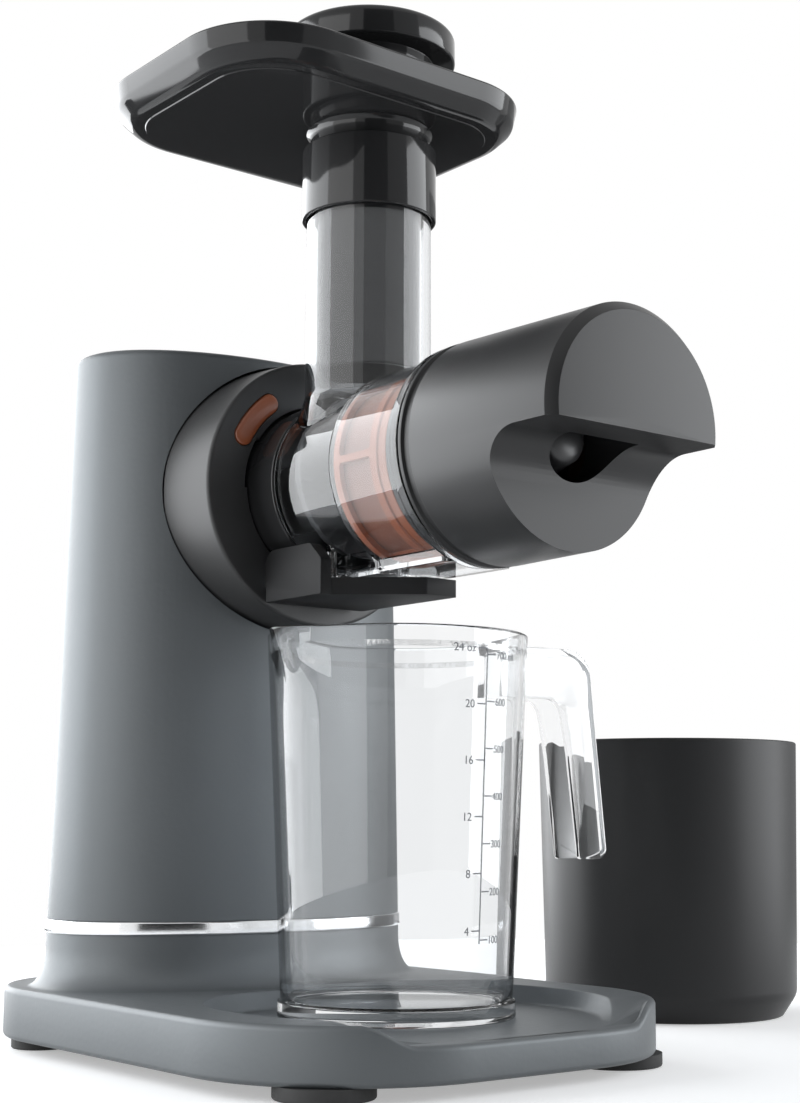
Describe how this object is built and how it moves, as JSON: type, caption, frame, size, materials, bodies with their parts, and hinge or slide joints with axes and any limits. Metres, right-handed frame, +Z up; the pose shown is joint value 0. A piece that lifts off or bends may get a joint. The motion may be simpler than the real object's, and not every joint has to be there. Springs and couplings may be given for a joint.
{
  "type": "cold press juicer",
  "caption": "Upright cold press juicer: grey tower on a tray base, clear horizontal juicing chamber with feed chute and hopper, black end cap, measuring jug and pulp container.",
  "frame": {"origin": "middle of the whole set's footprint on the counter; the feed chute's axis is on x = 0", "axes": "+X along the auger towards the pulp outlet, -Y towards the user, +Z up"},
  "size_m": [0.2766, 0.3508, 0.377],
  "materials": {
    "tower_grey": "fine leather-like moulded texture",
    "black_gloss": "satin black moulding",
    "black_matte": "fine matte moulding",
    "clear": "clear copolyester",
    "copper_orange": "copper-coloured plastic",
    "chrome": "bright plated band",
    "rubber": "soft pad",
    "silicone": "grey silicone",
    "steel": "turned steel",
    "gear_steel": "sintered steel",
    "zinc": "die cast",
    "bronze": "sintered bronze",
    "board_green": "lacquered board"
  },
  "bodies": {
    "base_unit": {"base_housing": "tower_grey", "bottom_cover": "black_matte", "feet": "rubber", "cover_screws": "steel", "cord_outlet": "rubber", "chrome_band": "chrome", "tower_shell": "tower_grey", "top_panel": "black_gloss", "button_pads": "silicone", "control_board": "board_green", "drum_housing": "black_gloss", "release_spring": "steel", "gear_case": "zinc", "gear_cover": "zinc", "case_screws": "steel", "motor_can": "steel", "motor_end_cap": "black_matte", "idler_pin": "steel", "output_bush": "bronze", "shaft_seal": "silicone"},
    "start_button": {"start_button": "black_matte"},
    "reverse_button": {"reverse_button": "black_matte"},
    "release_button": {"release_button": "copper_orange"},
    "auger_drive": {"auger": "black_matte", "output_shaft": "steel", "output_gear": "gear_steel"},
    "idler": {"idler_gear": "gear_steel"},
    "rotor": {"motor_shaft": "steel", "rotor_core": "gear_steel", "motor_pinion": "gear_steel", "cooling_fan": "black_matte"},
    "chamber": {"juicing_chamber": "clear", "bayonet_ring": "black_gloss", "filter_frame": "copper_orange", "filter_screen": "copper_orange", "cap_seal": "silicone"},
    "end_cap": {"end_cap": "black_gloss"},
    "drip_stop": {"drip_stop": "black_gloss"},
    "hopper": {"hopper_tray": "black_gloss"},
    "pusher": {"pusher": "black_gloss"},
    "jug": {"juice_jug": "clear"},
    "container": {"pulp_container": "black_gloss"}
  },
  "joints": [
    {"name": "auger_turn", "type": "hinge", "parent": "base_unit", "child": "auger_drive", "pos_m": [0, -0.0863, 0.2053], "axis": [1, 0, 0], "continuous": true},
    {"name": "idler_turn", "type": "hinge", "parent": "base_unit", "child": "idler", "pos_m": [-0.07, -0.07732, 0.16304], "axis": [1, 0, 0], "continuous": true},
    {"name": "rotor_turn", "type": "hinge", "parent": "base_unit", "child": "rotor", "pos_m": [-0.09, -0.08548, 0.1303], "axis": [1, 0, 0], "continuous": true},
    {"name": "chamber_twist", "type": "hinge", "parent": "base_unit", "child": "chamber", "pos_m": [0, -0.0863, 0.2053], "axis": [-1, 0, 0], "range_deg": [0, 30]},
    {"name": "end_cap_twist", "type": "hinge", "parent": "chamber", "child": "end_cap", "pos_m": [0, -0.0863, 0.2053], "axis": [1, 0, 0], "range_deg": [0, 30]},
    {"name": "drip_slide", "type": "slide", "parent": "chamber", "child": "drip_stop", "axis": [0, -1, 0], "range_m": [0, 0.026]},
    {"name": "hopper_lift", "type": "slide", "parent": "chamber", "child": "hopper", "axis": [0, 0, 1], "range_m": [0, 0.03]},
    {"name": "pusher_lift", "type": "slide", "parent": "hopper", "child": "pusher", "axis": [0, 0, 1], "range_m": [0, 0.12]},
    {"name": "release_press", "type": "slide", "parent": "base_unit", "child": "release_button", "axis": [-1, 0, 0], "range_m": [0, 0.0025], "stiffness_N_per_m": 600, "deforming": ["release_spring"]},
    {"name": "start_press", "type": "slide", "parent": "base_unit", "child": "start_button", "axis": [0, 0, -1], "range_m": [0, 0.0012], "stiffness_N_per_m": 900},
    {"name": "reverse_press", "type": "slide", "parent": "base_unit", "child": "reverse_button", "axis": [0, 0, -1], "range_m": [0, 0.0012], "stiffness_N_per_m": 900},
    {"name": "jug_slide", "type": "slide", "parent": "base_unit", "child": "jug", "axis": [1, 0, 0], "range_m": [0, 0.06]},
    {"name": "container_lift", "type": "slide", "parent": "base_unit", "child": "container", "axis": [0, 0, 1], "range_m": [0, 0.15]}
  ],
  "couplings": [
    {"joint": "idler_turn", "follows": "auger_turn", "ratio": -3.5},
    {"joint": "rotor_turn", "follows": "auger_turn", "ratio": 12.25}
  ]
}
